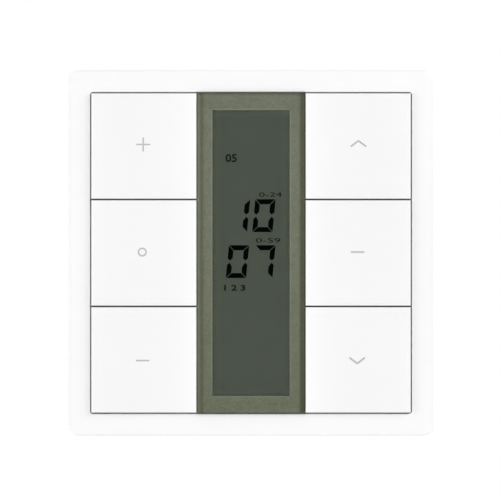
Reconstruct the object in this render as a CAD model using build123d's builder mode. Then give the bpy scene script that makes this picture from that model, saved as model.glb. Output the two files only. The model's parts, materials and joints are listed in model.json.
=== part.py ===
from build123d import *
import os

os.makedirs("parts", exist_ok=True)

# A flat wireless wall switch: a square frame round two columns of three keys and a display strip.
# X runs to the right and Z up, as seen from the room, and the back of the wall plate is Y = 0.
# Every depth below is a height above the wall, so it points towards the room, along -Y.

# Front view
field_side = 71.3  # square opening of the frame, which the keys and the display fill
frame_border = 4.85
frame_corner = 2.4
field_corner = 0.6
frame_gap = 0.3  # between the frame and what fills it
key_gap = 0.35
display_gap = 0.15  # between the display strip and the keys beside it
display_width = 23.9
key_rows = 3
lcd_view_side = 3.4  # from each long side of the display strip to its view
lcd_view_end = 3.7  # from each end of the display strip to its view

# Wall plate
plate_thickness = 2.4
plate_inset = 0.2  # the plate is this much smaller than the rear shell, all round
plate_corner = 2.0
plate_window = 40.0  # square opening over the wall box
plate_window_corner = 2.0
wall_screw_spacing = 60.0
wall_slot_length = 6.5
wall_slot_width = 3.5
wall_screw_head = 7.2
wall_slot_web = 0.8
post_inset = 13.2  # from the rear shell's sides to a post's centre
post_side = 4.0
post_length = 3.0
post_chamfer = 0.5
post_clearance = 0.02  # all round, a push fit by hand
post_tip_room = 0.25
socket_wall = 1.2

# Rear shell
shell_wall = 1.4
shell_floor = 1.4
shell_corner = 2.2
flange_overhang = 0.8  # how far the chassis reaches past the shell, for the frame to catch
screw_inset = 6.3  # from the shell's sides to a screw's centre
boss_side = 5.2

# Housing screws
screw_diameter = 2.2
screw_length = 6.8
screw_head_diameter = 3.8
screw_head_height = 1.4
screw_sink = 0.2  # how deep the head lies under the shell's back
screw_tip_room = 0.4
thread_clearance = 0.02
head_clearance = 0.2
boss_roof = 0.6

# Battery
cell_diameter = 20.0
cell_thickness = 3.2
cell_edge = 0.4
cell_z = -14.0
cell_clearance = 0.2
holder_wall = 1.55
holder_gap = 0.5  # between the holder and the shell's opening round it
holder_reach = 0.2  # how far the holder stands past the cell
holder_sink = 0.3  # how deep the holder lies under the shell's back
finger_notch_width = 10.0
finger_notch_depth = 2.0
contact_width = 5.0
contact_thickness = 0.3
contact_gap = 0.15
contact_overlap = 1.8
disc_diameter = 8.0
disc_thickness = 0.2

# Circuit board and what stands on it
board_thickness = 1.6
board_clearance = 0.5
chip_side = 7.0
chip_height = 1.0
chip_edge = 0.2
chip_z = 6.0
capacitor_length = 1.6
capacitor_width = 0.8
capacitor_height = 0.8
capacitor_pitch = 3.0
capacitor_count = 6
capacitor_z = -2.0
crystal_length = 8.0
crystal_width = 3.2
crystal_height = 1.4
crystal_z = -8.0
radio_width = 18.0
radio_height = 12.0
radio_board_thickness = 0.8
radio_z = 14.0
shield_rim = 1.0
shield_gap = 0.1  # between the shield can and the shell's floor
shield_edge = 0.3

# Push switches under the keys
switch_side = 6.0
switch_body_height = 3.2
switch_cover_thickness = 0.3
switch_chamfer = 0.5
switch_well_floor = 0.9
dome_length = 3.6
dome_width = 2.6
dome_height = 1.1
dome_crown = 1.6
dome_foot = 0.3
dome_sheet = 0.2
plunger_side = 3.0
plunger_flange = 4.2
plunger_flange_height = 0.7
plunger_rise = 0.8  # above the metal cover
plunger_clearance = 0.08
flange_clearance = 0.1
flange_play = 0.05
cover_leg_width = 3.0

# Chassis, which carries the keys and the display
board_to_chassis = 1.9
chassis_thickness = 1.0
chassis_gap = 0.7  # between the chassis and the frame's skirt
switch_window_gap = 0.4
lug_gap = 0.2  # between a lug's side and the key's skirt
lug_end_gap = 1.4  # between a key's outer lug faces and its skirt
lug_thickness = 1.6
lug_width = 3.4
lug_top_gap = 0.3
pin_diameter = 1.6
pin_clearance = 0.05
pin_floor = 0.35  # chassis material under a pin's seat
pin_snap = 1.4  # mouth through which a pin snaps into its lug
pin_lip = 0.45  # from the pin's axis up to the lips of the mouth
tower_side_gap = 0.25  # between the display tower and the keys
tower_wall = 0.9
ledge_width = 1.5
crossbar_width = 2.0
crossbar_count = 3

# Keys
key_wall = 1.6
key_skirt = 1.0
key_skirt_gap = 0.9  # between the skirt and the chassis, for the key's travel
key_edge = 0.3
key_proud = 0.9  # how far the keys stand out of the frame
hinge_rib = 1.3
hinge_rib_width = 2.4
hinge_rib_gap = 0.2
pin_reach = 0.2  # how far a pin passes its lug
nose_width = 3.0
nose_height = 1.12
nose_crown = 0.25  # rise of the nose's round end, which rolls on the plunger
nose_gap = 0.08
stiffener_width = 0.8
stiffener_height = 0.5
hook_inset = 1.45  # from a key's outer edge to its hook's outer face
hook_thickness = 1.0
hook_width = 6.0
hook_barb = 0.8
hook_barb_height = 0.8
hook_rest_gap = 0.05
hook_slot_gap = 0.3

# Display
bezel_thickness = 1.3
bezel_bevel_width = 1.2
bezel_bevel_depth = 0.5
bezel_end_bevel = 0.2
bezel_lip = 0.4
bezel_rabbet = 0.9
bezel_rim = 0.3  # chamfer round the display
bezel_end_gap = 0.15  # from the tower's end to the bezel's
pane_thickness = 0.8
pane_clearance = 0.05
lcd_gap = 0.1  # between the bezel and the display glass
polariser_thickness = 0.2
glass_thickness = 0.7
reflector_thickness = 0.3
glass_clearance = 0.2
glass_reach = 1.0  # how far the front glass passes the view at each end
glass_ledge = 2.4  # how far the front glass passes the rear glass at each end
polariser_inset = 0.4
strip_width = 1.6
strip_length = 16.0
strip_inset = 0.4
strip_slot_gap = 0.2
bezel_tab_width = 4.0
bezel_tab_thickness = 0.9
bezel_tab_spacing = 12.0
bezel_tab_gap = 0.2  # between the tabs' ends and the chassis's ledge
bezel_barb = 0.45
bezel_barb_height = 0.7
bezel_window_gap = 0.15

# Cover frame
frame_land = 1.8  # thickness of the frame's face
frame_wall = 1.8
frame_inner_wall = 1.2
frame_edge = 0.5
frame_opening_edge = 0.15
wall_gap = 0.5  # the frame's skirt ends this far off the wall
frame_tab_length = 10.0
frame_tab_spacing = 40.0
frame_tab_height = 1.2
frame_tab_side_gap = 0.3
frame_tab_rest_gap = 0.05
pry_notch_width = 10.0
pry_notch_height = 1.2

# Worked out in the front view
frame_side = field_side + 2 * frame_border
key_area = field_side - 2 * frame_gap
key_height = (key_area - (key_rows - 1) * key_gap) / key_rows
key_pitch = key_height + key_gap
key_inner = display_width / 2 + display_gap
key_outer = key_area / 2
key_width = key_outer - key_inner
key_centre = (key_inner + key_outer) / 2
hinge_x = key_inner + key_skirt + lug_gap + lug_width / 2
lug_spacing = key_height - 2 * (key_skirt + lug_end_gap) - lug_thickness
tower_width = 2 * (key_inner - tower_side_gap)
bezel_height = key_area
tower_height = bezel_height - 2 * bezel_end_gap
chassis_side = frame_side - 2 * frame_wall - 2 * chassis_gap
shell_side = chassis_side - 2 * flange_overhang
plate_side = shell_side - 2 * plate_inset
post_spacing = shell_side - 2 * post_inset
screw_spacing = shell_side - 2 * screw_inset
board_side = shell_side - 2 * shell_wall - 2 * board_clearance
switch_window = switch_side + 2 * (switch_cover_thickness + switch_window_gap)
row_places = [(row - (key_rows - 1) / 2) * key_pitch for row in range(key_rows)]
row_names = ["bottom", "middle", "top"]
side_names = {-1: "left", 1: "right"}

# Worked out as heights above the wall
shell_back = plate_thickness
shell_inside = shell_back + shell_floor
cell_back = shell_back + holder_sink + holder_reach
cell_front = cell_back + cell_thickness
board_back = cell_front + disc_thickness
board_front = board_back + board_thickness
chassis_back = board_front + board_to_chassis
chassis_front = chassis_back + chassis_thickness
switch_body_top = board_front + switch_body_height
switch_top = switch_body_top + switch_cover_thickness
plunger_top = switch_top + plunger_rise
nose_tip = plunger_top + nose_gap
key_underside = nose_tip + nose_height
key_front = key_underside + key_wall
key_back = chassis_front + key_skirt_gap
frame_front = key_front - key_proud
hinge_height = chassis_front + pin_floor + pin_clearance + pin_diameter / 2
lug_top = key_underside - lug_top_gap
bezel_back = key_front - bezel_thickness
pane_front = key_front - bezel_lip
pane_back = pane_front - pane_thickness
polariser_front = bezel_back - lcd_gap
front_glass_front = polariser_front - polariser_thickness
rear_glass_front = front_glass_front - glass_thickness
reflector_front = rear_glass_front - glass_thickness
lcd_back = reflector_front - reflector_thickness
bezel_tab_back = lcd_back + bezel_tab_gap
screw_seat = shell_back + screw_sink + screw_head_height
screw_tip = screw_seat + screw_length
boss_top = screw_tip + screw_tip_room + boss_roof

# Display glass in the front view
lcd_view_width = display_width - 2 * lcd_view_side
lcd_view_height = bezel_height - 2 * lcd_view_end
tower_inside_width = tower_width - 2 * tower_wall
tower_inside_height = tower_height - 2 * tower_wall
glass_width = tower_inside_width - 2 * glass_clearance
front_glass_height = lcd_view_height + 2 * glass_reach
rear_glass_height = front_glass_height - 2 * glass_ledge
strip_z = rear_glass_height / 2 + strip_inset + strip_width / 2


# Wall plate, screwed to the wall or to a flush box, with four push-fit posts for the switch
wall_head_room = wall_slot_length + wall_screw_head - wall_slot_width
with BuildPart() as wall_plate:
    with BuildSketch(Plane.XZ):
        RectangleRounded(plate_side, plate_side, plate_corner)
        RectangleRounded(plate_window, plate_window, plate_window_corner, mode=Mode.SUBTRACT)
    extrude(amount=plate_thickness)
    with BuildSketch(Plane.XZ.offset(wall_slot_web)):
        with Locations((-wall_screw_spacing / 2, 0), (wall_screw_spacing / 2, 0)):
            Rectangle(wall_head_room, wall_screw_head)
        with Locations((0, -wall_screw_spacing / 2), (0, wall_screw_spacing / 2)):
            Rectangle(wall_screw_head, wall_head_room)
    extrude(amount=plate_thickness - wall_slot_web, mode=Mode.SUBTRACT)
    with BuildSketch(Plane.XZ):
        with Locations((-wall_screw_spacing / 2, 0), (wall_screw_spacing / 2, 0)):
            SlotOverall(wall_slot_length, wall_slot_width)
        with Locations((0, -wall_screw_spacing / 2), (0, wall_screw_spacing / 2)):
            SlotOverall(wall_slot_length, wall_slot_width, rotation=90)
    extrude(amount=wall_slot_web, mode=Mode.SUBTRACT)
    with BuildSketch(Plane.XZ.offset(plate_thickness)):
        with GridLocations(post_spacing, post_spacing, 2, 2):
            Rectangle(post_side, post_side)
    extrude(amount=post_length)
    post_ends = wall_plate.faces().sort_by(Axis.Y)[:4]
    chamfer(post_ends.edges(), length=post_chamfer)
wall_plate.part.label = "wall_plate"
export_step(wall_plate.part, "parts/wall_plate.step")


# Rear shell, a shallow tray that holds the circuit board and takes the battery from behind
holder_side = cell_diameter + 2 * cell_clearance + 2 * holder_wall
socket_side = post_side + 2 * post_clearance
with BuildPart() as rear_shell:
    with BuildSketch(Plane.XZ.offset(shell_back)):
        RectangleRounded(shell_side, shell_side, shell_corner)
        with Locations((0, cell_z)):
            Rectangle(holder_side + 2 * holder_gap, holder_side + 2 * holder_gap, mode=Mode.SUBTRACT)
    extrude(amount=chassis_back - shell_back)
    with BuildSketch(Plane.XZ.offset(shell_inside)):
        Rectangle(shell_side - 2 * shell_wall, shell_side - 2 * shell_wall)
    extrude(amount=chassis_back - shell_inside, mode=Mode.SUBTRACT)
    with BuildSketch(Plane.XZ.offset(shell_inside)):
        with GridLocations(post_spacing, post_spacing, 2, 2):
            Rectangle(socket_side + 2 * socket_wall, socket_side + 2 * socket_wall)
    extrude(amount=board_back - shell_inside)
    with BuildSketch(Plane.XZ.offset(shell_inside)):
        with GridLocations(screw_spacing, screw_spacing, 2, 2):
            Rectangle(boss_side, boss_side)
    extrude(amount=board_front - shell_inside)
    with BuildSketch(Plane.XZ.offset(shell_back)):
        with GridLocations(post_spacing, post_spacing, 2, 2):
            Rectangle(socket_side, socket_side)
    extrude(amount=post_length + post_tip_room, mode=Mode.SUBTRACT)
    with BuildSketch(Plane.XZ.offset(shell_back)):
        with GridLocations(screw_spacing, screw_spacing, 2, 2):
            Rectangle(screw_head_diameter + 2 * head_clearance, screw_head_diameter + 2 * head_clearance)
    extrude(amount=screw_seat - shell_back, mode=Mode.SUBTRACT)
    with BuildSketch(Plane.XZ.offset(screw_seat)):
        with GridLocations(screw_spacing, screw_spacing, 2, 2):
            Circle(screw_diameter / 2 + thread_clearance)
    extrude(amount=board_front - screw_seat, mode=Mode.SUBTRACT)
rear_shell.part.label = "rear_shell"
export_step(rear_shell.part, "parts/rear_shell.step")


# Battery holder on the board, open at the right for a contact and notched below for a finger
with BuildPart() as battery_holder:
    with BuildSketch(Plane.XZ.offset(cell_back - holder_reach)):
        with Locations((0, cell_z)):
            Rectangle(holder_side, holder_side)
            Circle(cell_diameter / 2 + cell_clearance, mode=Mode.SUBTRACT)
        with Locations((holder_side / 2, cell_z)):
            Rectangle(cell_diameter / 2, contact_width + 2 * cell_clearance, mode=Mode.SUBTRACT)
    extrude(amount=board_back - cell_back + holder_reach)
    with BuildSketch(Plane.XZ.offset(cell_back - holder_reach)):
        with Locations((0, cell_z - holder_side / 2)):
            Rectangle(finger_notch_width, cell_diameter / 2)
    extrude(amount=finger_notch_depth, mode=Mode.SUBTRACT)
battery_holder.part.label = "battery_holder"
export_step(battery_holder.part, "parts/battery_holder.step")

# Contact clip that grips the cell's rim and back
clip_inside = cell_diameter / 2 + contact_gap
with BuildPart() as battery_clip:
    with BuildSketch(Plane.XY.offset(cell_z)):
        with BuildLine():
            Polyline(
                (clip_inside, -board_back),
                (clip_inside, -cell_back),
                (clip_inside - contact_overlap, -cell_back),
                (clip_inside - contact_overlap, -cell_back + contact_thickness),
                (clip_inside + contact_thickness, -cell_back + contact_thickness),
                (clip_inside + contact_thickness, -board_back),
                close=True,
            )
        make_face()
    extrude(amount=contact_width / 2, both=True)
battery_clip.part.label = "battery_clip"
export_step(battery_clip.part, "parts/battery_clip.step")

# Contact disc between the board and the cell
with BuildPart() as battery_disc:
    with BuildSketch(Plane.XZ.offset(cell_front)):
        with Locations((0, cell_z)):
            Circle(disc_diameter / 2)
    extrude(amount=disc_thickness)
battery_disc.part.label = "battery_disc"
export_step(battery_disc.part, "parts/battery_disc.step")

# Coin cell
with BuildPart() as coin_cell:
    with BuildSketch(Plane.XZ.offset(cell_back)):
        with Locations((0, cell_z)):
            Circle(cell_diameter / 2)
    extrude(amount=cell_thickness)
    chamfer(coin_cell.edges().filter_by(GeomType.CIRCLE).sort_by(Axis.Y)[-1], length=cell_edge)
coin_cell.part.label = "coin_cell"
export_step(coin_cell.part, "parts/coin_cell.step")


# Circuit board, notched at its corners round the screw bosses
notch_side = (board_side - screw_spacing + boss_side) / 2 + board_clearance
with BuildPart() as circuit_board:
    with BuildSketch(Plane.XZ.offset(board_back)):
        Rectangle(board_side, board_side)
        with GridLocations(board_side - notch_side, board_side - notch_side, 2, 2):
            Rectangle(notch_side, notch_side, mode=Mode.SUBTRACT)
    extrude(amount=board_thickness)
circuit_board.part.label = "circuit_board"
export_step(circuit_board.part, "parts/circuit_board.step")

# Microcontroller on the front of the board
with BuildPart() as microcontroller:
    with BuildSketch(Plane.XZ.offset(board_front)):
        with Locations((0, chip_z)):
            Rectangle(chip_side, chip_side)
    extrude(amount=chip_height)
    chamfer(microcontroller.faces().sort_by(Axis.Y)[0].edges(), length=chip_edge)
microcontroller.part.label = "microcontroller"
export_step(microcontroller.part, "parts/microcontroller.step")

# Row of chip capacitors
with BuildPart() as capacitors:
    with BuildSketch(Plane.XZ.offset(board_front)):
        with Locations((0, capacitor_z)):
            with GridLocations(capacitor_pitch, 1, capacitor_count, 1):
                Rectangle(capacitor_width, capacitor_length)
    extrude(amount=capacitor_height)
capacitors.part.label = "capacitors"
export_step(capacitors.part, "parts/capacitors.step")

# Clock crystal
with BuildPart() as clock_crystal:
    with BuildSketch(Plane.XZ.offset(board_front)):
        with Locations((0, crystal_z)):
            Rectangle(crystal_length, crystal_width)
    extrude(amount=crystal_height)
clock_crystal.part.label = "clock_crystal"
export_step(clock_crystal.part, "parts/clock_crystal.step")

# Radio module: its own small board with a shield can, on the back of the circuit board
radio_back = board_back - radio_board_thickness
with BuildPart() as radio_board:
    with BuildSketch(Plane.XZ.offset(radio_back)):
        with Locations((0, radio_z)):
            Rectangle(radio_width, radio_height)
    extrude(amount=radio_board_thickness)
radio_board.part.label = "radio_board"
export_step(radio_board.part, "parts/radio_board.step")

with BuildPart() as shield_can:
    with BuildSketch(Plane.XZ.offset(shell_inside + shield_gap)):
        with Locations((0, radio_z)):
            Rectangle(radio_width - 2 * shield_rim, radio_height - 2 * shield_rim)
    extrude(amount=radio_back - shell_inside - shield_gap)
    chamfer(shield_can.faces().sort_by(Axis.Y)[-1].edges(), length=shield_edge)
shield_can.part.label = "shield_can"
export_step(shield_can.part, "parts/shield_can.step")


# Push switches: six housings, their metal covers and the snap domes inside them, bent from strip
flange_top = switch_body_top - flange_play
well_bottom = board_front + switch_well_floor
well_side = plunger_flange + 2 * flange_clearance
switch_places = [(side * key_centre, z) for side in (-1, 1) for z in row_places]
with BuildPart() as switch_housings:
    with BuildSketch(Plane.XZ.offset(board_front)):
        with Locations(*switch_places):
            Rectangle(switch_side, switch_side)
    extrude(amount=switch_body_height)
    chamfer(switch_housings.edges().filter_by(Axis.Y), length=switch_chamfer)
    with BuildSketch(Plane.XZ.offset(well_bottom)):
        with Locations(*switch_places):
            Rectangle(well_side, well_side)
    extrude(amount=switch_body_top - well_bottom, mode=Mode.SUBTRACT)
switch_housings.part.label = "switch_housings"
export_step(switch_housings.part, "parts/switch_housings.step")

with BuildPart() as switch_covers:
    with BuildSketch(Plane.XZ.offset(switch_body_top)):
        with Locations(*switch_places):
            Rectangle(switch_side + 2 * switch_cover_thickness, cover_leg_width)
            Rectangle(switch_side - 2 * switch_chamfer, switch_side)
            Rectangle(
                plunger_side + 2 * plunger_clearance,
                plunger_side + 2 * plunger_clearance,
                mode=Mode.SUBTRACT,
            )
    extrude(amount=switch_cover_thickness)
    with BuildSketch(Plane.XZ.offset(board_front)):
        with Locations(*switch_places):
            with GridLocations(switch_side + switch_cover_thickness, 1, 2, 1):
                Rectangle(switch_cover_thickness, cover_leg_width)
    extrude(amount=switch_body_height)
switch_covers.part.label = "switch_covers"
export_step(switch_covers.part, "parts/switch_covers.step")

dome_top = well_bottom + dome_height
dome_inside = dome_top - dome_sheet
with BuildPart() as switch_domes:
    for centre, place in switch_places:
        with BuildSketch(Plane.XY.offset(place)):
            with BuildLine():
                Polyline(
                    (centre - dome_length / 2, -well_bottom),
                    (centre - dome_crown / 2, -dome_top),
                    (centre + dome_crown / 2, -dome_top),
                    (centre + dome_length / 2, -well_bottom),
                    (centre + dome_length / 2 - dome_foot, -well_bottom),
                    (centre + dome_crown / 2 - dome_sheet / 2, -dome_inside),
                    (centre - dome_crown / 2 + dome_sheet / 2, -dome_inside),
                    (centre - dome_length / 2 + dome_foot, -well_bottom),
                    close=True,
                )
            make_face()
        extrude(amount=dome_width / 2, both=True)
switch_domes.part.label = "switch_domes"
export_step(switch_domes.part, "parts/switch_domes.step")


def make_plunger(x, z, name):
    """A square stem whose flange is held under the switch's metal cover."""
    with BuildPart() as plunger:
        with BuildSketch(Plane.XZ.offset(flange_top - plunger_flange_height)):
            with Locations((x, z)):
                Rectangle(plunger_flange, plunger_flange)
        extrude(amount=plunger_flange_height)
        with BuildSketch(Plane.XZ.offset(flange_top)):
            with Locations((x, z)):
                Rectangle(plunger_side, plunger_side)
        extrude(amount=plunger_top - flange_top)
    plunger.part.label = name
    export_step(plunger.part, f"parts/{name}.step")


for side in side_names:
    for place, row_name in zip(row_places, row_names):
        make_plunger(side * key_centre, place, f"plunger_{side_names[side]}_{row_name}")


# Chassis: a plate with a tower for the display, snap lugs for the keys and screw bosses
hook_outer = key_outer - hook_inset
hook_centre = hook_outer - hook_thickness / 2
with BuildPart() as chassis:
    with BuildSketch(Plane.XZ.offset(chassis_back)):
        Rectangle(chassis_side, chassis_side)
    extrude(amount=chassis_thickness)
    with BuildSketch(Plane.XZ.offset(chassis_front)):
        Rectangle(tower_width, tower_height)
        Rectangle(tower_inside_width, tower_inside_height, mode=Mode.SUBTRACT)
    extrude(amount=bezel_back - chassis_front)
    with BuildSketch(Plane.XZ.offset(chassis_front)):
        Rectangle(tower_width, tower_height)
        Rectangle(
            tower_inside_width - 2 * ledge_width,
            tower_inside_height - 2 * ledge_width,
            mode=Mode.SUBTRACT,
        )
        with GridLocations(1, rear_glass_height / (crossbar_count + 1), 1, crossbar_count):
            Rectangle(tower_width, crossbar_width)
    extrude(amount=lcd_back - chassis_front)
    with BuildSketch(Plane.XZ.offset(board_front)):
        with GridLocations(screw_spacing, screw_spacing, 2, 2):
            Rectangle(boss_side, boss_side)
    extrude(amount=boss_top - board_front)
    for side in side_names:
        for place in row_places:
            for lug_place in (place - lug_spacing / 2, place + lug_spacing / 2):
                with BuildSketch(Plane.XY.offset(lug_place - lug_thickness / 2)):
                    with Locations((side * hinge_x, -(chassis_front + lug_top) / 2)):
                        Rectangle(lug_width, lug_top - chassis_front)
                    with Locations((side * hinge_x, -hinge_height)):
                        Circle(pin_diameter / 2 + pin_clearance, mode=Mode.SUBTRACT)
                    with Locations((side * hinge_x, -(hinge_height + pin_lip / 2))):
                        Rectangle(pin_diameter + 2 * pin_clearance, pin_lip, mode=Mode.SUBTRACT)
                    with Locations((side * hinge_x, -(hinge_height + lug_top) / 2)):
                        Rectangle(pin_snap, lug_top - hinge_height, mode=Mode.SUBTRACT)
                extrude(amount=lug_thickness)
    with BuildSketch(Plane.XZ.offset(chassis_back)):
        with Locations(*switch_places):
            Rectangle(switch_window, switch_window)
        with GridLocations(2 * hook_centre, key_pitch, 2, key_rows):
            Rectangle(hook_thickness + 2 * hook_slot_gap, hook_width + 2 * hook_slot_gap)
    extrude(amount=chassis_thickness, mode=Mode.SUBTRACT)
    with BuildSketch(Plane.XZ.offset(chassis_back)):
        with GridLocations(1, 2 * strip_z, 1, 2):
            Rectangle(strip_length + 2 * strip_slot_gap, strip_width + 2 * strip_slot_gap)
    extrude(amount=lcd_back - chassis_back, mode=Mode.SUBTRACT)
    with BuildSketch(Plane.XZ.offset(board_front)):
        with GridLocations(screw_spacing, screw_spacing, 2, 2):
            Circle(screw_diameter / 2 + thread_clearance)
    extrude(amount=screw_tip + screw_tip_room - board_front, mode=Mode.SUBTRACT)
    with BuildSketch(Plane.XZ.offset(bezel_tab_back - bezel_window_gap)):
        with GridLocations(bezel_tab_spacing, tower_height - tower_wall, 2, 2):
            Rectangle(bezel_tab_width + 2 * bezel_window_gap, tower_wall)
    extrude(amount=bezel_barb_height + 2 * bezel_window_gap, mode=Mode.SUBTRACT)
chassis.part.label = "chassis"
export_step(chassis.part, "parts/chassis.step")


# Display glass stack, from the back: reflector, rear glass, front glass, polariser
with BuildPart() as lcd_reflector:
    with BuildSketch(Plane.XZ.offset(lcd_back)):
        Rectangle(glass_width, rear_glass_height)
    extrude(amount=reflector_thickness)
lcd_reflector.part.label = "lcd_reflector"
export_step(lcd_reflector.part, "parts/lcd_reflector.step")

with BuildPart() as lcd_rear_glass:
    with BuildSketch(Plane.XZ.offset(reflector_front)):
        Rectangle(glass_width, rear_glass_height)
    extrude(amount=glass_thickness)
lcd_rear_glass.part.label = "lcd_rear_glass"
export_step(lcd_rear_glass.part, "parts/lcd_rear_glass.step")

with BuildPart() as lcd_front_glass:
    with BuildSketch(Plane.XZ.offset(rear_glass_front)):
        Rectangle(glass_width, front_glass_height)
    extrude(amount=glass_thickness)
lcd_front_glass.part.label = "lcd_front_glass"
export_step(lcd_front_glass.part, "parts/lcd_front_glass.step")

with BuildPart() as lcd_polariser:
    with BuildSketch(Plane.XZ.offset(front_glass_front)):
        Rectangle(glass_width - 2 * polariser_inset, front_glass_height - 2 * polariser_inset)
    extrude(amount=polariser_thickness)
lcd_polariser.part.label = "lcd_polariser"
export_step(lcd_polariser.part, "parts/lcd_polariser.step")

# Rubber contact strips from the circuit board to the ends of the front glass
with BuildPart() as contact_strips:
    with BuildSketch(Plane.XZ.offset(board_front)):
        with GridLocations(1, 2 * strip_z, 1, 2):
            Rectangle(strip_length, strip_width)
    extrude(amount=rear_glass_front - board_front)
contact_strips.part.label = "contact_strips"
export_step(contact_strips.part, "parts/contact_strips.step")


# Display bezel: a long strip with bevelled sides, a window and four barbed tabs
tab_outer = tower_inside_height / 2 - bezel_window_gap
with BuildPart() as display_bezel:
    with BuildSketch(Plane.XY):
        with BuildLine():
            Polyline(
                (-display_width / 2, -bezel_back),
                (display_width / 2, -bezel_back),
                (display_width / 2, -(key_front - bezel_bevel_depth)),
                (display_width / 2 - bezel_bevel_width, -key_front),
                (-display_width / 2 + bezel_bevel_width, -key_front),
                (-display_width / 2, -(key_front - bezel_bevel_depth)),
                close=True,
            )
        make_face()
    extrude(amount=bezel_height / 2, both=True)
    front_ends = display_bezel.faces().sort_by(Axis.Y)[0].edges().filter_by(Axis.X)
    chamfer(front_ends, length=bezel_end_bevel)
    with BuildSketch(Plane.XZ.offset(bezel_back)):
        Rectangle(lcd_view_width, lcd_view_height)
    extrude(amount=bezel_thickness, mode=Mode.SUBTRACT)
    view_rim = display_bezel.faces().sort_by(Axis.Y)[0].inner_wires()[0]
    chamfer(view_rim.edges(), length=bezel_rim)
    with BuildSketch(Plane.XZ.offset(bezel_back)):
        Rectangle(lcd_view_width + 2 * bezel_rabbet, lcd_view_height + 2 * bezel_rabbet)
    extrude(amount=pane_front - bezel_back, mode=Mode.SUBTRACT)
    with BuildSketch(Plane.XZ.offset(bezel_tab_back)):
        with GridLocations(bezel_tab_spacing, 2 * tab_outer - bezel_tab_thickness, 2, 2):
            Rectangle(bezel_tab_width, bezel_tab_thickness)
    extrude(amount=bezel_back - bezel_tab_back)
    with BuildSketch(Plane.XZ.offset(bezel_tab_back)):
        with GridLocations(bezel_tab_spacing, 2 * tab_outer + bezel_barb, 2, 2):
            Rectangle(bezel_tab_width, bezel_barb)
    extrude(amount=bezel_barb_height)
display_bezel.part.label = "display_bezel"
export_step(display_bezel.part, "parts/display_bezel.step")

# Clear pane in the bezel's rabbet
with BuildPart() as window_pane:
    with BuildSketch(Plane.XZ.offset(pane_back)):
        Rectangle(
            lcd_view_width + 2 * (bezel_rabbet - pane_clearance),
            lcd_view_height + 2 * (bezel_rabbet - pane_clearance),
        )
    extrude(amount=pane_thickness)
window_pane.part.label = "window_pane"
export_step(window_pane.part, "parts/window_pane.step")


def make_key(side, z, name):
    """A hollow key with two hinge pins near the display, a round-ended nose and a snap hook."""
    hinge = side * hinge_x
    rib_inner = lug_spacing / 2 - lug_thickness / 2 - hinge_rib_gap - hinge_rib
    rib_outer = rib_inner + hinge_rib
    pin_end = lug_spacing / 2 + lug_thickness / 2 + pin_reach
    pin_back = hinge_height - pin_diameter / 2
    nose_left = side * key_centre - nose_width / 2
    nose_right = side * key_centre + nose_width / 2
    nose_shoulder = nose_tip + nose_crown
    barb_top = chassis_back - hook_rest_gap
    barb_bottom = barb_top - hook_barb_height
    with BuildPart() as key:
        with BuildSketch(Plane.XZ.offset(key_back)):
            with Locations((side * key_centre, z)):
                Rectangle(key_width, key_height)
        extrude(amount=key_front - key_back)
        fillet(key.faces().sort_by(Axis.Y)[0].edges(), radius=key_edge)
        with BuildSketch(Plane.XZ.offset(key_back)):
            with Locations((side * key_centre, z)):
                Rectangle(key_width - 2 * key_skirt, key_height - 2 * key_skirt)
        extrude(amount=key_underside - key_back, mode=Mode.SUBTRACT)
        with BuildSketch(Plane.XZ.offset(key_underside - stiffener_height)):
            with Locations((side * key_centre, z)):
                Rectangle(key_width - key_skirt, stiffener_width)
                Rectangle(stiffener_width, key_height - key_skirt)
        extrude(amount=stiffener_height)
        with BuildSketch(Plane.XY.offset(z)):
            with BuildLine():
                Polyline(
                    (nose_right, -nose_shoulder),
                    (nose_right, -key_underside),
                    (nose_left, -key_underside),
                    (nose_left, -nose_shoulder),
                )
                ThreePointArc(
                    (nose_left, -nose_shoulder),
                    (side * key_centre, -nose_tip),
                    (nose_right, -nose_shoulder),
                )
            make_face()
        extrude(amount=nose_width / 2, both=True)
        for end in (-1, 1):
            with BuildSketch(Plane.XY.offset(z + end * rib_inner)):
                with Locations((hinge, -(pin_back + key_underside) / 2)):
                    Rectangle(hinge_rib_width, key_underside - pin_back)
            extrude(amount=end * hinge_rib)
            with BuildSketch(Plane.XY.offset(z + end * rib_outer)):
                with Locations((hinge, -hinge_height)):
                    Circle(pin_diameter / 2)
            extrude(amount=end * (pin_end - rib_outer))
        with BuildSketch(Plane.XY.offset(z)):
            with BuildLine():
                Polyline(
                    (side * hook_outer, -key_underside),
                    (side * (hook_outer - hook_thickness), -key_underside),
                    (side * (hook_outer - hook_thickness), -barb_bottom),
                    (side * hook_outer, -barb_bottom),
                    (side * (hook_outer + hook_barb), -(barb_bottom + hook_barb_height / 2)),
                    (side * (hook_outer + hook_barb), -barb_top),
                    (side * hook_outer, -barb_top),
                    close=True,
                )
            make_face()
        extrude(amount=hook_width / 2, both=True)
    key.part.label = name
    export_step(key.part, f"parts/{name}.step")


for side in side_names:
    for place, row_name in zip(row_places, row_names):
        make_key(side, place, f"key_{side_names[side]}_{row_name}")


# Tabs inside the cover frame, on the side at +X, that catch the chassis flange from behind
frame_inside = frame_side / 2 - frame_wall
tab_tip = shell_side / 2 + frame_tab_side_gap
tab_top = chassis_back - frame_tab_rest_gap
with BuildPart() as frame_tabs:
    for end in (-1, 1):
        with BuildSketch(Plane.XY.offset(end * frame_tab_spacing / 2)):
            with BuildLine():
                Polyline(
                    (frame_inside, -tab_top),
                    (tab_tip, -tab_top),
                    (tab_tip, -(tab_top - frame_tab_height / 2)),
                    (frame_inside, -(tab_top - frame_tab_height)),
                    close=True,
                )
            make_face()
        extrude(amount=frame_tab_length / 2, both=True)

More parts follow.
